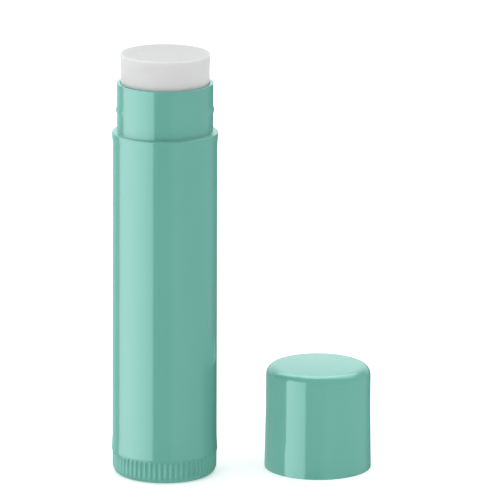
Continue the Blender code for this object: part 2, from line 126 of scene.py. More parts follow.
# Carrier, as far as the balm and the spindle follow it
CARRIER_GAP = 0.00015
CARRIER_FLOOR = 0.0012
CARRIER_WALL = 0.00055
CUP_HEIGHT = 0.0042
NUT_GAP = 0.00022
BOSS_WALL = 0.00098
BOSS_HEIGHT = 0.0032
FIN_COUNT = 4
FIN_HEIGHT = 0.0022
FIN_THICKNESS = 0.0006
FIN_PHASE_DEGREES = 45
PARKING_GAP = 0.00035
WOUND_OUT = 0.00525

# Keyways of the barrel
KEYWAY_DEPTH = 0.00050
KEYWAY_WIDTH = 0.0016
KEYWAY_END_DEPTH = 0.0009
KEYWAY_AZIMUTHS_DEGREES = (90, 270)

# Balm
BALM_GAP = 0.00017
BALM_SEAT_GAP = 0.00020
BALM_PARKED_DEPTH = 0.00078
BALM_EDGE_PROUD = 0.00015
BALM_EDGE_HEIGHT = 0.00140
BALM_EDGE_ROUNDING = 0.00022
BALM_FLARE_ROUNDING = 0.015
BALM_DISH = 0.00012
BALM_BORE_GAP = 0.0003
BALM_BORE_TIP_GAP = 0.0005
BALM_UNEVENNESS = 0.000018
BALM_UNEVENNESS_SIZE = 0.0021
# How far the painted shade on the balm's top face fades in at its edges
PAINTED_SHADE_FADE = 0.00005

# Cap
CAP_HEIGHT = 0.01593
CAP_GAP = 0.00024
CAP_RIM_WALL = 0.000665
CAP_RIM_HEIGHT = 0.00025
CAP_FLARE = 0.000165
CAP_FLARE_HEIGHT = 0.0098
CAP_FLARE_ROUNDING = 0.012
CAP_INNER_DRAFT = 0.00023
CAP_TOP_WALL = 0.0009
CAP_ROUNDING = 0.0015
CAP_INNER_ROUNDING = 0.0008
CAP_RIM_CHAMFER = 0.00018
CAP_SNAP_PROUD = 0.00014
CAP_SNAP_HALF_WIDTH = 0.00035
CAP_SNAP_LEVEL = 0.00221
CAP_PLACE_X = 0.0233
CAP_PLACE_Y = 0.00314

# How finely the pieces are faceted, and by how much cutters overrun
ROUND_STEPS = 180
RIB_STEPS = 12
CORNER_STEPS = 10
EDGE_STEPS = 12
BEAD_ROWS = 26
RUNOUT_ROWS = 5
BALM_ROWS = 70
BALM_RINGS = 30
THREAD_STEPS = 48
OVERRUN = 0.0005
POLE_RADIUS = 0.0001
SHARP_ANGLE_DEGREES = 32

# Radii and heights that the pieces share
LIP_RADIUS = BARREL_RADIUS + LIP_PROUD
BARREL_LOWER_RADIUS = BARREL_RADIUS + BARREL_DRAFT
BARREL_FOOT_RADIUS = BARREL_LOWER_RADIUS + FLARE_PROUD
BARREL_FOOT = DIAL_HEIGHT + PARTING_GAP
DIAL_TOP = BARREL_FOOT - PARTING_SEEN
RIB_TOP = DIAL_TOP - DIAL_BAND_HEIGHT
DIAL_RADIUS = BARREL_FOOT_RADIUS - DIAL_INSET
NECK_RADIUS = LIP_RADIUS - SHOULDER_WIDTH
NECK_TOP = SHOULDER_HEIGHT + NECK_LENGTH
BORE_RADIUS = NECK_RADIUS - NECK_WALL
RECESS_RADIUS = BORE_RADIUS + RECESS_DEPTH
COLLAR_RADIUS = RECESS_RADIUS - COLLAR_GAP
COLLAR_TOP = DIAL_HEIGHT + COLLAR_HEIGHT
SNAP_RADIUS = COLLAR_RADIUS + SNAP_PROUD
SNAP_LEVEL = DIAL_HEIGHT + SNAP_HEIGHT
KEYWAY_RADIUS = BORE_RADIUS + KEYWAY_DEPTH
KEYWAY_END = SHOULDER_HEIGHT - KEYWAY_END_DEPTH
THREAD_RADIUS = SPINDLE_RADIUS + THREAD_DEPTH
BOSS_RADIUS = THREAD_RADIUS + NUT_GAP + BOSS_WALL
CARRIER_RADIUS = BORE_RADIUS - CARRIER_GAP
CUP_RADIUS = CARRIER_RADIUS - CARRIER_WALL

# Heights of the carrier's floor when it is wound right down, as built, and wound right up
FLOOR_PARKED = COLLAR_TOP + PARKING_GAP + CARRIER_FLOOR
FLOOR_BUILT = FLOOR_PARKED + WOUND_OUT
FLOOR_RAISED = KEYWAY_END - PARKING_GAP - CUP_HEIGHT
SPINDLE_TOP = FLOOR_RAISED + BOSS_HEIGHT
BALM_LENGTH = NECK_TOP - BALM_PARKED_DEPTH - FLOOR_PARKED

# Colours of the materials
TEAL = (0.149, 0.408, 0.344, 1.0)
TEAL_DEEP = (0.143, 0.399, 0.336, 1.0)
# Painted light: the cap's teal is a lighter copy of the barrel's, which makes up for the light that
# the stick keeps off the cap
TEAL_CAP_PAINTED_LIGHT = (0.158, 0.432, 0.366, 1.0)
TEAL_CAP_PAINTED_LIGHT_DEEP = (0.152, 0.423, 0.358, 1.0)
# Painted shade: the dial's teal is a darker copy of the barrel's, for the shade between its ribs
TEAL_RIBS_PAINTED_SHADE = (0.140, 0.397, 0.334, 1.0)
TEAL_RIBS_PAINTED_SHADE_DEEP = (0.134, 0.388, 0.327, 1.0)
SHEEN = (0.74, 1.0, 0.97, 1.0)
MINT_GLOW = (0.80, 0.98, 0.96, 1.0)
TEAL_GLOW = (0.55, 1.0, 0.92, 1.0)
MILKY = (0.780, 0.800, 0.780, 1.0)
MILKY_DEEP = (0.730, 0.750, 0.730, 1.0)
WAX = (0.660, 0.665, 0.660, 1.0)
WAX_DEEP = (0.640, 0.645, 0.639, 1.0)
# Painted shade: the balm's top face is given this darker, greyer colour than its side
WAX_TOP_PAINTED_SHADE = (0.552, 0.535, 0.537, 1.0)
WHITE = (1.0, 1.0, 1.0, 1.0)

# Sizes of the lumps in the materials, depths of their relief and reach of the light inside them
GLOSS_DRIFT_SIZE = 0.004
GLOSS_SKIN_SIZE = 0.0007
GLOSS_WAVE_SIZE = 0.0035
GLOSS_WAVE_STRETCH = (1, 1, 0.18)
GLOSS_WAVE_DEPTH = 0.0000050
RIBS_WAVE_DEPTH = 0.0000010
GLOSS_FINE_SIZE = 0.00022
GLOSS_FINE_DEPTH = 0.0000010
GLOSS_SCATTER = 0.0005
WAX_CLOUD_SIZE = 0.0026
WAX_SKIN_SIZE = 0.0009
WAX_LUMP_SIZE = 0.0016
WAX_LUMP_DEPTH = 0.000012
WAX_FINE_SIZE = 0.0002
WAX_FINE_DEPTH = 0.0000030
WAX_SCATTER = 0.0015
MILKY_DRIFT_SIZE = 0.003
MILKY_SKIN_SIZE = 0.0005
MILKY_FINE_SIZE = 0.0003
MILKY_FINE_DEPTH = 0.000002
MILKY_SCATTER = 0.0006

# Camera
CAMERA_PLACE = (0.01282, -0.82441, 0.23901)
CAMERA_PITCH_DEGREES = 13.927
CAMERA_ROLL_DEGREES = 0.304
CAMERA_LENS_MM = 405.97

# Surface that the object stands on
FLOOR_SIZE = 6.0
FLOOR_COLOUR = (0.92, 0.92, 0.92, 1.0)
FLOOR_OWN_LIGHT = 0.35

# Soft light for matt surfaces from all round: its level, how it leans along the axes, and how
# much stronger it is towards both ends of each axis
SKY_LEVEL = 0.534
SKY_LEAN = (-0.105, -0.066, 0.0)
SKY_SPREAD = (0.30, 0.05, 0.285)

# Soft lamps: name, place, size and power
LAMPS = (
    ("lamp_top", (-0.05, 0.05, 0.70), 0.60, 1.59),
    ("lamp_left", (-0.42, -0.30, 0.46), 0.45, 0.12),
    ("lamp_low_left", (-0.38, -0.42, 0.06), 0.40, 0.13),
    ("lamp_right", (0.50, 0.15, 0.25), 0.40, 0.09),
)

# Soft panels that only glossy surfaces mirror, on a ball about the object: name, azimuths of the
# two sides, off the camera's own and rising to the right, elevations of the lower and upper edge,
# and the brightness in the middle. The shares of it at the two sides and at the lower and upper
# edge follow.
PANEL_RADIUS = 0.45
PANEL_CENTRE_HEIGHT = 0.03
PANEL_STEP_DEGREES = 4
PANELS = (
    ("panel_left", (-119, -25), (-30, 35), 5.5, (0.4, 0.6), (0.9, 0.9)),
    ("panel_front", (-25, 17), (-30, 35), 0.0, (1, 1), (1, 1)),
    ("panel_right", (17, 126), (-30, 35), 0.5, (1, 1), (1, 1)),
    ("panel_back_right", (126, 180), (-30, 0), 0.2, (1, 1), (1, 1)),
    ("panel_back_left", (180, 241), (-30, 0), 0.9, (0.7, 0.6), (0.7, 1)),
    ("panel_back", (126, 241), (0, 35), 1.7, (0.1, 0.6), (0.8, 1.7)),
    ("panel_front_high", (-90, 90), (35, 90), 0.3, (1, 1), (0.7, 1.5)),
    ("panel_back_high", (90, 270), (35, 90), 6.0, (0.4, 0.6), (0.6, 0.7)),
    ("panel_low", (-180, 180), (-85, -30), 0.4, (1, 1), (1, 1)),
)

# Panels whose light isn't white
PANEL_TINTS = {
    "panel_back": MINT_GLOW,
    "panel_back_high": MINT_GLOW,
    "panel_back_left": TEAL_GLOW,
    "panel_back_right": TEAL_GLOW,
}

# Painted reflections: the coloured cards give the cap's left flank an even reflection in place of
# the stick's, and the black outer card puts a dark reflection on the stick's lower right in place
# of the cap
# Upright curved cards between the stick and the cap, about the cap's axis, that only glossy
# surfaces mirror: name, radius, first and last azimuth, and colour
CARDS = (
    ("card_back", 0.0119, 100, 160, (0.45, 0.70, 0.63, 1.0)),
    ("card_side", 0.0119, 160, 178, (0.52, 0.82, 0.74, 1.0)),
    ("card_front", 0.0119, 178, 217, (0.74, 1.05, 0.99, 1.0)),
    ("card_outer", 0.0123, 100, 217, (0.0, 0.0, 0.0, 1.0)),
)
CARD_STEP_DEGREES = 3
CARD_HEIGHTS = (-0.012, 0.016)


def polar(radius, azimuth, height):
    """The point at a radius, an azimuth in radians and a height."""
    return Vector((radius * math.cos(azimuth), radius * math.sin(azimuth), height))


def smoothstep(share):
    """A share from 0 to 1 that starts and ends gently."""
    share = min(1, max(0, share))
    return share * share * (3 - 2 * share)


def between(low, high, count):
    """Evenly spaced values from one to another, without the two themselves."""
    return [low + (high - low) * (step + 1) / (count + 1) for step in range(count)]


def rounded(corners, steps=CORNER_STEPS):
    """An outline of (radius, height) points, with an arc at each corner that has a rounding.

    Each corner is (radius, height, rounding). An arc that is too long for the edges beside it
    is limited by the shorter of them.
    """
    outline = []
    for index, (radius, height, rounding) in enumerate(corners):
        corner = Vector((radius, height))
        if rounding == 0:
            outline.append(tuple(corner))
            continue
        before = Vector(corners[index - 1][:2]) - corner
        after = Vector(corners[(index + 1) % len(corners)][:2]) - corner
        half_angle = before.angle(after) / 2
        reach = min(rounding / math.tan(half_angle), before.length / 2, after.length / 2)
        radius_used = reach * math.tan(half_angle)
        inward = (before.normalized() + after.normalized()).normalized()
        centre = corner + inward * (radius_used / math.sin(half_angle))
        first = corner + before.normalized() * reach - centre
        last = corner + after.normalized() * reach - centre
        sweep = first.angle_signed(last)
        for step in range(steps + 1):
            turn = -sweep * step / steps
            spoke = Vector((
                first.x * math.cos(turn) - first.y * math.sin(turn),
                first.x * math.sin(turn) + first.y * math.cos(turn),
            ))
            outline.append(tuple(centre + spoke))
    return outline


def plain_ring(radius, height, steps=ROUND_STEPS):
    """A round ring of points about Z."""
    return [polar(radius, math.tau * step / steps, height) for step in range(steps)]


def new_object(name, mesh):
    """Turn a bmesh into an object of the scene, with its faces pointing out."""
    bmesh.ops.recalc_face_normals(mesh, faces=mesh.faces)
    data = bpy.data.meshes.new(name)
    mesh.to_mesh(data)
    mesh.free()
    item = bpy.data.objects.new(name, data)
    bpy.context.scene.collection.objects.link(item)
    return item


def skinned(name, rings, closed):
    """A body through rings that have as many points each.

    A closed one joins its last ring to its first. Another has a flat face on both.
    """
    mesh = bmesh.new()
    loops = [[mesh.verts.new(point) for point in ring] for ring in rings]
    for lower, upper in zip(loops, loops[1:] + loops[:1] if closed else loops[1:]):
        for step in range(len(lower)):
            after = (step + 1) % len(lower)
            mesh.faces.new((lower[step], lower[after], upper[after], upper[step]))
    if not closed:
        mesh.faces.new(loops[0])
        mesh.faces.new(loops[-1])
    return new_object(name, mesh)


def block(name, low, high, azimuth_degrees):
    """A box between two corners, turned about Z."""
    mesh = bmesh.new()
    bmesh.ops.create_cube(mesh, size=1)
    low, high = Vector(low), Vector(high)
    bmesh.ops.scale(mesh, vec=high - low, verts=mesh.verts)
    bmesh.ops.translate(mesh, vec=(low + high) / 2, verts=mesh.verts)
    item = new_object(name, mesh)
    item.rotation_euler.z = math.radians(azimuth_degrees)
    return item


def cut(target, tool):
    """Cut a tool solid out of the target."""
    modifier = target.modifiers.new(tool.name, "BOOLEAN")
    modifier.operation = "DIFFERENCE"
    modifier.solver = "MANIFOLD"
    modifier.object = tool
    result = target.evaluated_get(bpy.context.evaluated_depsgraph_get())
    rough = target.data
    target.data = bpy.data.meshes.new_from_object(result)
    target.modifiers.clear()
    bpy.data.meshes.remove(rough)
    bpy.data.objects.remove(tool, do_unlink=True)


def dress(item, material, body, node=None):
    """Give a piece its material and smooth faces, and say what it rides on and stands for."""
    item.data.name = item.name
    item.data.materials.clear()
    item.data.materials.append(material)
    item.data.shade_smooth()
    item.data.set_sharp_from_angle(angle=math.radians(SHARP_ANGLE_DEGREES))
    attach(item, body)
    if node:
        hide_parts(node)


def add_node(tree, kind, place, **inputs):
    """Add a shader node, with its unlinked inputs given by name."""
    node = tree.nodes.new(kind)
    node.location = place
    for name, value in inputs.items():
        node.inputs[name.replace("_", " ")].default_value = value
    return node


def object_space(tree, stretch):
    """Coordinates in metres on the piece itself, stretched along its three axes."""
    source = add_node(tree, "ShaderNodeTexCoord", (-1500, 0))
    mapping = add_node(tree, "ShaderNodeMapping", (-1300, 0), Scale=stretch)
    tree.links.new(source.outputs["Object"], mapping.inputs["Vector"])
    return mapping.outputs["Vector"]


def grain(tree, vector, size, detail, place):
    """Noise with lumps of about a size."""
    node = add_node(tree, "ShaderNodeTexNoise", place, Scale=1 / size, Detail=detail)
    tree.links.new(vector, node.inputs["Vector"])
    return node.outputs["Fac"]


def spread(tree, value, low, high, place):
    """Spread noise, which keeps near a half, over a range."""
    node = add_node(
        tree, "ShaderNodeMapRange", place, From_Min=0.3, From_Max=0.7, To_Min=low, To_Max=high,
    )
    tree.links.new(value, node.inputs["Value"])
    return node.outputs["Result"]


def relief(tree, height, depth, place, below=None):
    """Bump the surface by a depth, over what bumps it already."""
    node = add_node(tree, "ShaderNodeBump", place, Strength=1.0, Distance=depth)
    tree.links.new(height, node.inputs["Height"])
    if below:
        tree.links.new(below, node.inputs["Normal"])
    return node.outputs["Normal"]


def base_material(name):
    """A new material, its node tree and its shader."""
    material = bpy.data.materials.new(name)
    material.use_nodes = True
    tree = material.node_tree
    return material, tree, tree.nodes["Principled BSDF"]


def tint(tree, shader, value, light, dark):
    """Let the colour drift between two shades."""
    mix = add_node(tree, "ShaderNodeMix", (-500, 300))
    mix.data_type = "RGBA"
    mix.inputs[6].default_value = dark
    mix.inputs[7].default_value = light
    tree.links.new(value, mix.inputs["Factor"])
    tree.links.new(mix.outputs[2], shader.inputs["Base Color"])


def paint_shade_on_top(tree, shader, radius, height, colour):
    """Paint the face above a height and within a radius of the piece's axis in another colour:
    painted shade.
    """
    source = add_node(tree, "ShaderNodeTexCoord", (-1500, 600))
    split = add_node(tree, "ShaderNodeSeparateXYZ", (-1300, 600))
    tree.links.new(source.outputs["Object"], split.inputs["Vector"])
    above = add_node(
        tree, "ShaderNodeMapRange", (-1000, 600), From_Min=height - PAINTED_SHADE_FADE, From_Max=height,
    )
    tree.links.new(split.outputs["Z"], above.inputs["Value"])
    flat = add_node(tree, "ShaderNodeVectorMath", (-1300, 800))
    flat.operation = "MULTIPLY"
    flat.inputs[1].default_value = (1, 1, 0)
    tree.links.new(source.outputs["Object"], flat.inputs[0])
    reach = add_node(tree, "ShaderNodeVectorMath", (-1150, 800))
    reach.operation = "LENGTH"
    tree.links.new(flat.outputs["Vector"], reach.inputs[0])
    within = add_node(
        tree, "ShaderNodeMapRange", (-1000, 850), From_Min=radius, From_Max=radius - PAINTED_SHADE_FADE,
    )
    tree.links.new(reach.outputs["Value"], within.inputs["Value"])
    both = add_node(tree, "ShaderNodeMath", (-750, 700))
    both.operation = "MULTIPLY"
    tree.links.new(above.outputs["Result"], both.inputs[0])
    tree.links.new(within.outputs["Result"], both.inputs[1])
    mix = add_node(tree, "ShaderNodeMix", (-250, 300))
    mix.data_type = "RGBA"
    mix.inputs[7].default_value = colour
    tree.links.new(both.outputs["Value"], mix.inputs["Factor"])
    tree.links.new(shader.inputs["Base Color"].links[0].from_socket, mix.inputs[6])
    tree.links.new(mix.outputs[2], shader.inputs["Base Color"])


def gloss_plastic(name, rough_low, rough_high, light, dark, gloss=0.5, wave=GLOSS_WAVE_DEPTH):
    """Glossy moulded plastic: a faint drift of colour, a soft skin and long shallow waves."""
    material, tree, shader = base_material(name)
    along = object_space(tree, GLOSS_WAVE_STRETCH)
    even = object_space(tree, (1, 1, 1))
    drift = grain(tree, along, GLOSS_DRIFT_SIZE, 3, (-1000, 300))
    tint(tree, shader, spread(tree, drift, 0, 1, (-750, 300)), light, dark)
    skin = grain(tree, even, GLOSS_SKIN_SIZE, 4, (-1000, 0))
    roughness = spread(tree, skin, rough_low, rough_high, (-750, 0))
    tree.links.new(roughness, shader.inputs["Roughness"])
    long_waves = grain(tree, along, GLOSS_WAVE_SIZE, 2, (-1000, -300))
    waves = relief(tree, long_waves, wave, (-600, -300))
    fine = grain(tree, even, GLOSS_FINE_SIZE, 2, (-1000, -600))
    normal = relief(tree, fine, GLOSS_FINE_DEPTH, (-350, -300), waves)
    tree.links.new(normal, shader.inputs["Normal"])
    shader.inputs["IOR"].default_value = 1.5
    shader.inputs["Specular IOR Level"].default_value = gloss
    shader.inputs["Specular Tint"].default_value = SHEEN
    shader.inputs["Subsurface Weight"].default_value = 0.15
    shader.inputs["Subsurface Radius"].default_value = (0.5, 1.0, 0.9)
    shader.inputs["Subsurface Scale"].default_value = GLOSS_SCATTER
    return material


def wax(name):
    """Cast balm: off-white, faintly clouded, a little translucent, with a soft satin skin.

    Its top face is painted a shade darker and greyer than its side: painted shade.
    """
    material, tree, shader = base_material(name)
    even = object_space(tree, (1, 1, 1))
    cloud = grain(tree, even, WAX_CLOUD_SIZE, 4, (-1000, 300))
    tint(tree, shader, spread(tree, cloud, 0, 1, (-750, 300)), WAX, WAX_DEEP)
    face_radius = BORE_RADIUS - BALM_GAP + BALM_EDGE_PROUD - BALM_EDGE_ROUNDING
    # Painted shade on the balm's top face
    paint_shade_on_top(tree, shader, face_radius, BALM_LENGTH - BALM_EDGE_ROUNDING, WAX_TOP_PAINTED_SHADE)
    skin = grain(tree, even, WAX_SKIN_SIZE, 4, (-1000, 0))
    tree.links.new(spread(tree, skin, 0.42, 0.54, (-750, 0)), shader.inputs["Roughness"])
    coarse = grain(tree, even, WAX_LUMP_SIZE, 3, (-1000, -300))
    lumps = relief(tree, coarse, WAX_LUMP_DEPTH, (-600, -300))
    fine = grain(tree, even, WAX_FINE_SIZE, 3, (-1000, -600))
    normal = relief(tree, fine, WAX_FINE_DEPTH, (-350, -300), lumps)
    tree.links.new(normal, shader.inputs["Normal"])
    shader.inputs["IOR"].default_value = 1.44
    shader.inputs["Specular IOR Level"].default_value = 0.05
    shader.inputs["Subsurface Weight"].default_value = 0.60
    shader.inputs["Subsurface Radius"].default_value = (1.0, 0.98, 0.92)
    shader.inputs["Subsurface Scale"].default_value = WAX_SCATTER
    return material


def milky_plastic(name):
    """Uncoloured moulded plastic, satin and milky."""
    material, tree, shader = base_material(name)
    even = object_space(tree, (1, 1, 1))
    drift = grain(tree, even, MILKY_DRIFT_SIZE, 3, (-1000, 300))
    tint(tree, shader, spread(tree, drift, 0, 1, (-750, 300)), MILKY, MILKY_DEEP)
    skin = grain(tree, even, MILKY_SKIN_SIZE, 4, (-1000, 0))
    tree.links.new(spread(tree, skin, 0.34, 0.46, (-750, 0)), shader.inputs["Roughness"])
    fine = grain(tree, even, MILKY_FINE_SIZE, 3, (-1000, -300))
    normal = relief(tree, fine, MILKY_FINE_DEPTH, (-350, -300))
    tree.links.new(normal, shader.inputs["Normal"])
    shader.inputs["IOR"].default_value = 1.49
    shader.inputs["Subsurface Weight"].default_value = 0.25
    shader.inputs["Subsurface Radius"].default_value = (1.0, 1.0, 0.95)
    shader.inputs["Subsurface Scale"].default_value = MILKY_SCATTER
    return material


def bead_radius(azimuth, height):
    """The radius of the neck with its two snap beads, which blend into it."""
    low = SHOULDER_HEIGHT + BEAD_SEAT_HEIGHT
    crest_low = low + BEAD_LOWER_FLANK
    crest_high = crest_low + BEAD_CREST_WIDTH
    off_axis = abs((math.degrees(azimuth) + 90) % 180 - 90)
    rise_share = max(0, min(1, (1 / 2 - off_axis / BEAD_SPAN_DEGREES) / BEAD_FADE_SHARE))
    buried = NECK_RADIUS - BEAD_ROOT_DEPTH / 2
    root = NECK_RADIUS - BEAD_ROOT_DEPTH
    crest = buried + (NECK_RADIUS + BEAD_PROUD - buried) * rise_share
    climb_share = min(
        1, (height - low) / BEAD_LOWER_FLANK, 1 - (height - crest_high) / BEAD_UPPER_FLANK,
    )
    above = root + (crest - root) * climb_share - NECK_RADIUS
    blend = max(0, 1 - abs(above) / BEAD_BLEND)
    return NECK_RADIUS + max(0, above) + BEAD_BLEND * blend * blend / 4


def neck_rings():
    """The rings up the outside of the neck, over its snap beads."""
    low = SHOULDER_HEIGHT + BEAD_SEAT_HEIGHT
    high = low + BEAD_LOWER_FLANK + BEAD_CREST_WIDTH + BEAD_UPPER_FLANK
    rings = []
    for height in between(low, high, BEAD_ROWS):
        azimuths = [math.tau * step / ROUND_STEPS for step in range(ROUND_STEPS)]
        rings.append([polar(bead_radius(turn, height), turn, height) for turn in azimuths])
    return rings


def barrel(material):
    """The barrel with its neck, snap beads, inner keyways and the recess for the collar."""
    lip_base = SHOULDER_HEIGHT - LIP_HEIGHT
    recess_top = COLLAR_TOP + RECESS_HEADROOM
    groove_radius = SNAP_RADIUS + SNAP_GAP
    groove_reach = SNAP_HALF_WIDTH + SNAP_GAP
    below_beads = rounded([
        (RECESS_RADIUS, BARREL_FOOT + COLLAR_CHAMFER, 0),
        (RECESS_RADIUS + COLLAR_CHAMFER, BARREL_FOOT, 0),
        (BARREL_FOOT_RADIUS, BARREL_FOOT, FOOT_EDGE_ROUNDING),
        (BARREL_LOWER_RADIUS, BARREL_FOOT + FLARE_HEIGHT, FLARE_ROUNDING),
        (BARREL_RADIUS, lip_base - LIP_SLOPE_HEIGHT, LIP_BLEND),
        (LIP_RADIUS, lip_base, LIP_BLEND),
        (LIP_RADIUS, SHOULDER_HEIGHT, LIP_ROUNDING),
        (NECK_RADIUS, SHOULDER_HEIGHT, NECK_ROOT_ROUNDING),
        (NECK_RADIUS, SHOULDER_HEIGHT + BEAD_SEAT_HEIGHT, 0),
    ])
    above_beads = rounded([
        (NECK_RADIUS, NECK_TOP, NECK_RIM_ROUNDING),
        (BORE_RADIUS - RIM_LIP, NECK_TOP, NECK_RIM_ROUNDING),
        (BORE_RADIUS - RIM_LIP, NECK_TOP - RIM_LIP_HEIGHT, 0),
        (BORE_RADIUS, NECK_TOP - RIM_LIP_HEIGHT - RIM_LIP, 0),
        (BORE_RADIUS, recess_top, 0),
        (RECESS_RADIUS, recess_top, 0),
        (RECESS_RADIUS, SNAP_LEVEL + groove_reach, 0),
        (groove_radius, SNAP_LEVEL, 0),
        (RECESS_RADIUS, SNAP_LEVEL - groove_reach, 0),
        (NECK_RADIUS, SNAP_LEVEL - groove_reach, 0),
    ])[:-1]
    rings = [plain_ring(*point) for point in below_beads]
    rings += neck_rings()
    rings += [plain_ring(*point) for point in above_beads]
    piece = skinned("barrel_shell", rings, closed=True)
    for azimuth in KEYWAY_AZIMUTHS_DEGREES:
        low = (BORE_RADIUS - OVERRUN, -KEYWAY_WIDTH / 2, BARREL_FOOT - OVERRUN)
        high = (KEYWAY_RADIUS, KEYWAY_WIDTH / 2, KEYWAY_END)
        cut(piece, block("keyway", low, high, azimuth))
    dress(piece, material, "barrel", "barrel")


def ribbed_ring(radius, height):
    """A ring over the dial's ribs, cut down to a radius where an edge is rounded off.

    The ribs run out into the smooth band at the dial's top.
    """
    crest = DIAL_RADIUS - DIAL_DRAFT * (1 - height / DIAL_TOP)
    flank_share = (1 - RIB_CREST_SHARE - RIB_FLOOR_SHARE) / 2
    depth = RIB_DEPTH * smoothstep((RIB_TOP - height) / RIB_RUNOUT)
    ring = []
    for step in range(RIB_COUNT * RIB_STEPS):
        share = step / RIB_STEPS
        off_crest = abs((share + 1 / 2) % 1 - 1 / 2)
        sink = smoothstep((off_crest - RIB_CREST_SHARE / 2) / flank_share)
        azimuth = math.tau * (share + RIB_PHASE_SHARE) / RIB_COUNT
        ring.append(polar(min(radius, crest - depth * sink), azimuth, height))
    return ring


def dial_ring(radius, height):
    """A ring of the dial with no ribs."""
    steps = RIB_COUNT * RIB_STEPS
    turn = math.tau * RIB_PHASE_SHARE / RIB_COUNT
    return [polar(radius, turn + math.tau * step / steps, height) for step in range(steps)]


def dial_edge_rings():
    """The rings of the dial's rounded lower edge, on a quarter of an ellipse."""
    rings = []
    for step in range(EDGE_STEPS + 1):
        angle = math.pi / 2 * step / EDGE_STEPS
        radius = DIAL_RADIUS - DIAL_EDGE_WIDTH * (1 - math.sin(angle))
        rings.append(ribbed_ring(radius, DIAL_EDGE_HEIGHT * (1 - math.cos(angle))))
    return rings


def dial(material):
    """The ribbed dial with its snap collar."""
    foot_inner = DIAL_RADIUS - DIAL_EDGE_WIDTH - DIAL_FOOT_WIDTH
    inner = COLLAR_RADIUS - COLLAR_WALL
    rings = [
        dial_ring(POLE_RADIUS, 0),
        dial_ring(DIAL_RELIEF_INNER_RADIUS, 0),
        dial_ring(DIAL_RELIEF_INNER_RADIUS + DIAL_RELIEF_SLOPE, DIAL_RELIEF_DEPTH),
        dial_ring(foot_inner - DIAL_RELIEF_SLOPE, DIAL_RELIEF_DEPTH),
        dial_ring(foot_inner, 0),
    ]
    rings += dial_edge_rings()
    rings.append(ribbed_ring(DIAL_RADIUS, RIB_TOP - RIB_RUNOUT))
    for height in between(RIB_TOP - RIB_RUNOUT, RIB_TOP, RUNOUT_ROWS):
        rings.append(ribbed_ring(DIAL_RADIUS, height))
    rings += [
        ribbed_ring(DIAL_RADIUS, RIB_TOP),
        ribbed_ring(DIAL_RADIUS, DIAL_TOP - DIAL_TOP_CHAMFER),
        ribbed_ring(DIAL_RADIUS - DIAL_TOP_CHAMFER, DIAL_TOP),
        dial_ring(COLLAR_RADIUS, DIAL_TOP),
        dial_ring(COLLAR_RADIUS, SNAP_LEVEL - SNAP_HALF_WIDTH),
        dial_ring(SNAP_RADIUS, SNAP_LEVEL),
        dial_ring(COLLAR_RADIUS, SNAP_LEVEL + SNAP_HALF_WIDTH),
        dial_ring(COLLAR_RADIUS, COLLAR_TOP - COLLAR_CHAMFER),
        dial_ring(COLLAR_RADIUS - COLLAR_CHAMFER, COLLAR_TOP),
        dial_ring(inner, COLLAR_TOP),
        dial_ring(inner, DIAL_FLOOR),
        dial_ring(SPINDLE_RADIUS + SPINDLE_FOOT, DIAL_FLOOR),
        dial_ring(SPINDLE_RADIUS, DIAL_FLOOR + SPINDLE_FOOT),
        dial_ring(SPINDLE_RADIUS, SPINDLE_TOP - SPINDLE_TIP),
        dial_ring(SPINDLE_RADIUS - SPINDLE_TIP, SPINDLE_TOP),
    ]
    piece = skinned("dial_wheel", rings, closed=False)
    dress(piece, material, "dial", "dial")


def thread(material):
    """The left-handed thread on the dial's spindle."""
    root = SPINDLE_RADIUS - THREAD_BURIED
    length = SPINDLE_TOP - SPINDLE_TIP - THREAD_ROOT_WIDTH - COLLAR_TOP
    steps = int(length / THREAD_PITCH * THREAD_STEPS)
    rings = []
    for step in range(steps + 1):
        azimuth = -math.tau * step / THREAD_STEPS
        height = COLLAR_TOP + THREAD_PITCH * step / THREAD_STEPS
        fade_share = min(1, min(step, steps - step) / (THREAD_FADE_SHARE * THREAD_STEPS))
        crest = SPINDLE_RADIUS + THREAD_DEPTH * fade_share
        rings.append([
            polar(root, azimuth, height - THREAD_ROOT_WIDTH / 2),
            polar(crest, azimuth, height - THREAD_CREST_WIDTH / 2),
            polar(crest, azimuth, height + THREAD_CREST_WIDTH / 2),
            polar(root, azimuth, height + THREAD_ROOT_WIDTH / 2),
        ])
    dress(skinned("dial_thread", rings, closed=False), material, "dial")


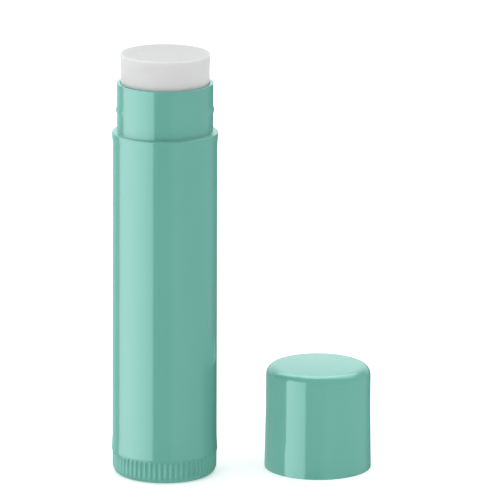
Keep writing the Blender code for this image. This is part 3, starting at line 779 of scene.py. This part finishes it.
def balm_outline():
    """The outline of the balm, from the top of the spindle's bore out and over its top."""
    radius = BORE_RADIUS - BALM_GAP
    edge_radius = radius + BALM_EDGE_PROUD
    bore_radius = THREAD_RADIUS + BALM_BORE_GAP
    bore_top = SPINDLE_TOP - FLOOR_PARKED + BALM_BORE_TIP_GAP
    foot_inner = BOSS_RADIUS + BALM_SEAT_GAP
    foot_outer = CUP_RADIUS - BALM_SEAT_GAP
    ledge = CUP_HEIGHT + BALM_SEAT_GAP
    side_top = BALM_LENGTH - BALM_EDGE_HEIGHT
    outline = [
        (POLE_RADIUS, bore_top + bore_radius / 2),
        (bore_radius, bore_top),
        (bore_radius, BOSS_HEIGHT + BALM_SEAT_GAP),
        (foot_inner, BOSS_HEIGHT + BALM_SEAT_GAP),
        (foot_inner, BALM_SEAT_GAP),
        (foot_outer, BALM_SEAT_GAP),
        (foot_outer, ledge),
        (radius, ledge),
    ]
    flare_foot = side_top - BALM_EDGE_HEIGHT / 2
    outline += [(radius, height) for height in between(ledge, flare_foot, BALM_ROWS)]
    outline += rounded([
        (radius, ledge, 0),
        (radius, side_top, BALM_FLARE_ROUNDING),
        (edge_radius, BALM_LENGTH, BALM_EDGE_ROUNDING),
        (edge_radius / 2, BALM_LENGTH - BALM_DISH / 2, 0),
    ])[1:-1]
    for share in between(1, 0, BALM_RINGS):
        reach = (edge_radius - BALM_EDGE_ROUNDING) * share
        outline.append((reach, BALM_LENGTH - BALM_DISH * (1 - share * share)))
    outline.append((POLE_RADIUS, BALM_LENGTH - BALM_DISH))
    return outline


def cast_ring(radius, height):
    """A ring of the balm. Above the carrier its skin has shrunk in a little, and unevenly."""
    ring = plain_ring(radius, height)
    if height <= CUP_HEIGHT + BALM_SEAT_GAP:
        return ring
    shrunk = []
    for point in ring:
        shrinkage = BALM_UNEVENNESS * (1 + noise.noise(point / BALM_UNEVENNESS_SIZE)) / 2
        outward = Vector((point.x, point.y, 0)).normalized()
        shrunk.append(point - shrinkage * outward - Vector((0, 0, shrinkage)))
    return shrunk


def balm(material):
    """The stick of balm, cast into the carrier round its boss and fins, with the spindle's bore."""
    piece = skinned("balm_stick", [cast_ring(*point) for point in balm_outline()], closed=False)
    slot_half_width = FIN_THICKNESS / 2 + BALM_SEAT_GAP
    foot_inner = BOSS_RADIUS + BALM_SEAT_GAP
    foot_outer = CUP_RADIUS - BALM_SEAT_GAP
    for fin in range(FIN_COUNT):
        low = (foot_inner - OVERRUN, -slot_half_width, BALM_SEAT_GAP - OVERRUN)
        high = (foot_outer + OVERRUN, slot_half_width, FIN_HEIGHT + BALM_SEAT_GAP)
        cut(piece, block("slot", low, high, FIN_PHASE_DEGREES + 360 * fin / FIN_COUNT))
    piece.location.z = FLOOR_BUILT
    dress(piece, material, "carrier", "balm")


def cap(material):
    """The cap, open at its rim, with a ring inside that snaps under the neck's beads."""
    bore = NECK_RADIUS + CAP_GAP
    rim_radius = bore + CAP_RIM_WALL
    body_radius = rim_radius - CAP_FLARE
    ceiling = CAP_HEIGHT - CAP_TOP_WALL
    snap_wall = bore - CAP_INNER_DRAFT / ceiling * CAP_SNAP_LEVEL
    outline = rounded([
        (POLE_RADIUS, CAP_HEIGHT, 0),
        (body_radius, CAP_HEIGHT, CAP_ROUNDING),
        (body_radius, CAP_FLARE_HEIGHT, CAP_FLARE_ROUNDING),
        (rim_radius, CAP_RIM_HEIGHT, FOOT_EDGE_ROUNDING),
        (rim_radius, 0, FOOT_EDGE_ROUNDING),
        (bore + CAP_RIM_CHAMFER, 0, 0),
        (bore, CAP_RIM_CHAMFER, 0),
        (snap_wall, CAP_SNAP_LEVEL - CAP_SNAP_HALF_WIDTH, 0),
        (snap_wall - CAP_SNAP_PROUD, CAP_SNAP_LEVEL, 0),
        (snap_wall, CAP_SNAP_LEVEL + CAP_SNAP_HALF_WIDTH, 0),
        (bore - CAP_INNER_DRAFT, ceiling, CAP_INNER_ROUNDING),
        (POLE_RADIUS, ceiling, 0),
    ])
    piece = skinned("cap_shell", [plain_ring(*point) for point in outline], closed=False)
    piece.location = (CAP_PLACE_X, CAP_PLACE_Y, 0)
    dress(piece, material, "cap", "cap")


def camera():
    """The camera at the photograph's place."""
    data = bpy.data.cameras.new("camera")
    data.lens = CAMERA_LENS_MM
    data.clip_start = 0.01
    item = bpy.data.objects.new("camera", data)
    item.location = CAMERA_PLACE
    item.rotation_mode = "ZYX"
    item.rotation_euler.x = math.radians(90 - CAMERA_PITCH_DEGREES)
    item.rotation_euler.z = math.radians(CAMERA_ROLL_DEGREES)
    bpy.context.scene.collection.objects.link(item)
    bpy.context.scene.camera = item


def floor():
    """The white surface under the object. Glossy surfaces mirror the panels and not the floor."""
    mesh = bmesh.new()
    bmesh.ops.create_grid(mesh, x_segments=1, y_segments=1, size=FLOOR_SIZE / 2)
    item = new_object("floor", mesh)
    material = bpy.data.materials.new("floor")
    material.use_nodes = True
    tree = material.node_tree
    tree.nodes.remove(tree.nodes["Principled BSDF"])
    matt = add_node(tree, "ShaderNodeBsdfDiffuse", (-400, 0), Color=FLOOR_COLOUR)
    glow = add_node(tree, "ShaderNodeEmission", (-400, -200), Color=WHITE, Strength=FLOOR_OWN_LIGHT)
    both = add_node(tree, "ShaderNodeAddShader", (-200, 0))
    tree.links.new(matt.outputs["BSDF"], both.inputs[0])
    tree.links.new(glow.outputs["Emission"], both.inputs[1])
    tree.links.new(both.outputs["Shader"], tree.nodes["Material Output"].inputs["Surface"])
    material.cycles.emission_sampling = "NONE"
    item.data.materials.append(material)
    item.visible_glossy = False


def stops(ends):
    """Values from one end to the other, at most a step apart."""
    low, high = ends
    count = math.ceil((high - low) / PANEL_STEP_DEGREES)
    return [low + (high - low) * step / count for step in range(count + 1)]


def fall_off(place, ends, edge_shares):
    """The share of a panel's brightness at a place: all of it midway, an edge's share there."""
    reach = 2 * (place - ends[0]) / (ends[1] - ends[0]) - 1
    edge_share = edge_shares[0] if reach < 0 else edge_shares[1]
    return 1 + (edge_share - 1) * reach * reach


def mirrored_only(item, colour):
    """Make a stage piece glow for glossy surfaces alone. Gives its node tree and its light."""
    material = bpy.data.materials.new(item.name)
    material.use_nodes = True
    tree = material.node_tree
    tree.nodes.remove(tree.nodes["Principled BSDF"])
    light = add_node(tree, "ShaderNodeEmission", (-300, 0), Color=colour, Strength=1.0)
    tree.links.new(light.outputs["Emission"], tree.nodes["Material Output"].inputs["Surface"])
    material.cycles.emission_sampling = "NONE"
    item.data.materials.append(material)
    item.visible_camera = False
    item.visible_diffuse = False
    item.visible_shadow = False
    item.visible_transmission = False
    return tree, light


def panel(name, azimuths, elevations, middle, side_shares, level_shares):
    """A patch of a ball that glossy surfaces mirror, brightest or darkest in its middle."""
    mesh = bmesh.new()
    lines = []
    brightness = []
    for azimuth in stops(azimuths):
        lines.append([])
        across = middle * fall_off(azimuth, azimuths, side_shares)
        for elevation in stops(elevations):
            tilt = math.radians(elevation)
            height = PANEL_CENTRE_HEIGHT + PANEL_RADIUS * math.sin(tilt)
            place = polar(PANEL_RADIUS * math.cos(tilt), math.radians(azimuth - 90), height)
            lines[-1].append(mesh.verts.new(place))
            brightness.append(across * fall_off(elevation, elevations, level_shares))
    for here, following in zip(lines, lines[1:]):
        for row in range(len(here) - 1):
            mesh.faces.new((here[row], following[row], following[row + 1], here[row + 1]))
    item = new_object(name, mesh)
    glow = item.data.attributes.new("glow", "FLOAT", "POINT")
    glow.data.foreach_set("value", brightness)
    tree, light = mirrored_only(item, PANEL_TINTS.get(name, WHITE))
    source = add_node(tree, "ShaderNodeAttribute", (-600, 0))
    source.attribute_name = "glow"
    tree.links.new(source.outputs["Fac"], light.inputs["Strength"])


def card(name, radius, first, last, colour):
    """A curved card about the cap's axis, which reaches below the floor, with an even glow."""
    mesh = bmesh.new()
    low, high = CARD_HEIGHTS
    lines = []
    for azimuth in range(first, last + 1, CARD_STEP_DEGREES):
        foot = polar(radius, math.radians(azimuth), low) + Vector((CAP_PLACE_X, CAP_PLACE_Y, 0))
        top = foot + Vector((0, 0, high - low))
        lines.append((mesh.verts.new(foot), mesh.verts.new(top)))
    for here, following in zip(lines, lines[1:]):
        mesh.faces.new((here[0], following[0], following[1], here[1]))
    mirrored_only(new_object(name, mesh), colour)


def sky():
    """White all round for the camera and for glossy surfaces, and a soft light for matt ones."""
    world = bpy.data.worlds.new("studio")
    world.use_nodes = True
    bpy.context.scene.world = world
    tree = world.node_tree
    tree.nodes.clear()
    path = add_node(tree, "ShaderNodeLightPath", (-900, 400))
    seen = add_node(tree, "ShaderNodeMath", (-650, 400))
    seen.operation = "MAXIMUM"
    tree.links.new(path.outputs["Is Camera Ray"], seen.inputs[0])
    tree.links.new(path.outputs["Is Glossy Ray"], seen.inputs[1])
    shown = add_node(tree, "ShaderNodeMath", (-450, 400))
    shown.operation = "MAXIMUM"
    tree.links.new(seen.outputs["Value"], shown.inputs[0])
    tree.links.new(path.outputs["Is Transmission Ray"], shown.inputs[1])
    source = add_node(tree, "ShaderNodeTexCoord", (-1300, 0))
    lean = add_node(tree, "ShaderNodeVectorMath", (-900, 0))
    lean.operation = "DOT_PRODUCT"
    lean.inputs[1].default_value = SKY_LEAN
    tree.links.new(source.outputs["Generated"], lean.inputs[0])
    squared = add_node(tree, "ShaderNodeVectorMath", (-1100, -200))
    squared.operation = "MULTIPLY"
    tree.links.new(source.outputs["Generated"], squared.inputs[0])
    tree.links.new(source.outputs["Generated"], squared.inputs[1])
    sides = add_node(tree, "ShaderNodeVectorMath", (-900, -200))
    sides.operation = "DOT_PRODUCT"
    sides.inputs[1].default_value = SKY_SPREAD
    tree.links.new(squared.outputs["Vector"], sides.inputs[0])
    uneven = add_node(tree, "ShaderNodeMath", (-650, 0))
    uneven.operation = "ADD"
    tree.links.new(lean.outputs["Value"], uneven.inputs[0])
    tree.links.new(sides.outputs["Value"], uneven.inputs[1])
    level = add_node(tree, "ShaderNodeMath", (-450, 0))
    level.operation = "ADD"
    level.inputs[1].default_value = SKY_LEVEL
    tree.links.new(uneven.outputs["Value"], level.inputs[0])
    soft = add_node(tree, "ShaderNodeBackground", (-250, 0), Color=WHITE)
    tree.links.new(level.outputs["Value"], soft.inputs["Strength"])
    white = add_node(tree, "ShaderNodeBackground", (-250, 200), Color=WHITE, Strength=1.0)
    mix = add_node(tree, "ShaderNodeMixShader", (0, 100))
    tree.links.new(shown.outputs["Value"], mix.inputs["Fac"])
    tree.links.new(soft.outputs["Background"], mix.inputs[1])
    tree.links.new(white.outputs["Background"], mix.inputs[2])
    output = add_node(tree, "ShaderNodeOutputWorld", (250, 100))
    tree.links.new(mix.outputs["Shader"], output.inputs["Surface"])


def lamp(name, place, size, power):
    """A large soft lamp aimed at the object, which glossy surfaces don't mirror."""
    data = bpy.data.lights.new(name, "AREA")
    data.shape = "SQUARE"
    data.size = size
    data.energy = power
    item = bpy.data.objects.new(name, data)
    item.location = place
    item.rotation_euler = (-Vector(place)).to_track_quat("-Z", "Y").to_euler()
    item.visible_glossy = False
    item.visible_camera = False
    bpy.context.scene.collection.objects.link(item)


def build():
    """Make the pieces, the studio and the camera."""
    barrel(gloss_plastic("barrel_plastic", 0.10, 0.14, TEAL, TEAL_DEEP))
    # The dial's plastic is the darker, painted-shade copy of the teal
    dial_plastic = gloss_plastic(
        "dial_plastic", 0.16, 0.22, TEAL_RIBS_PAINTED_SHADE, TEAL_RIBS_PAINTED_SHADE_DEEP, gloss=0.32,
        wave=RIBS_WAVE_DEPTH,
    )
    dial(dial_plastic)
    thread(dial_plastic)
    balm(wax("balm_wax"))
    # The cap's plastic is the lighter, painted-light copy of the teal
    cap(gloss_plastic("cap_plastic", 0.10, 0.14, TEAL_CAP_PAINTED_LIGHT, TEAL_CAP_PAINTED_LIGHT_DEEP))
    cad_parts["carrier"].data.materials[0] = milky_plastic("carrier_plastic")
    floor()
    for row in PANELS:
        panel(*row)
    for row in CARDS:
        card(*row)
    sky()
    for row in LAMPS:
        lamp(*row)
    camera()
    bpy.context.scene.view_settings.view_transform = "Standard"


build()
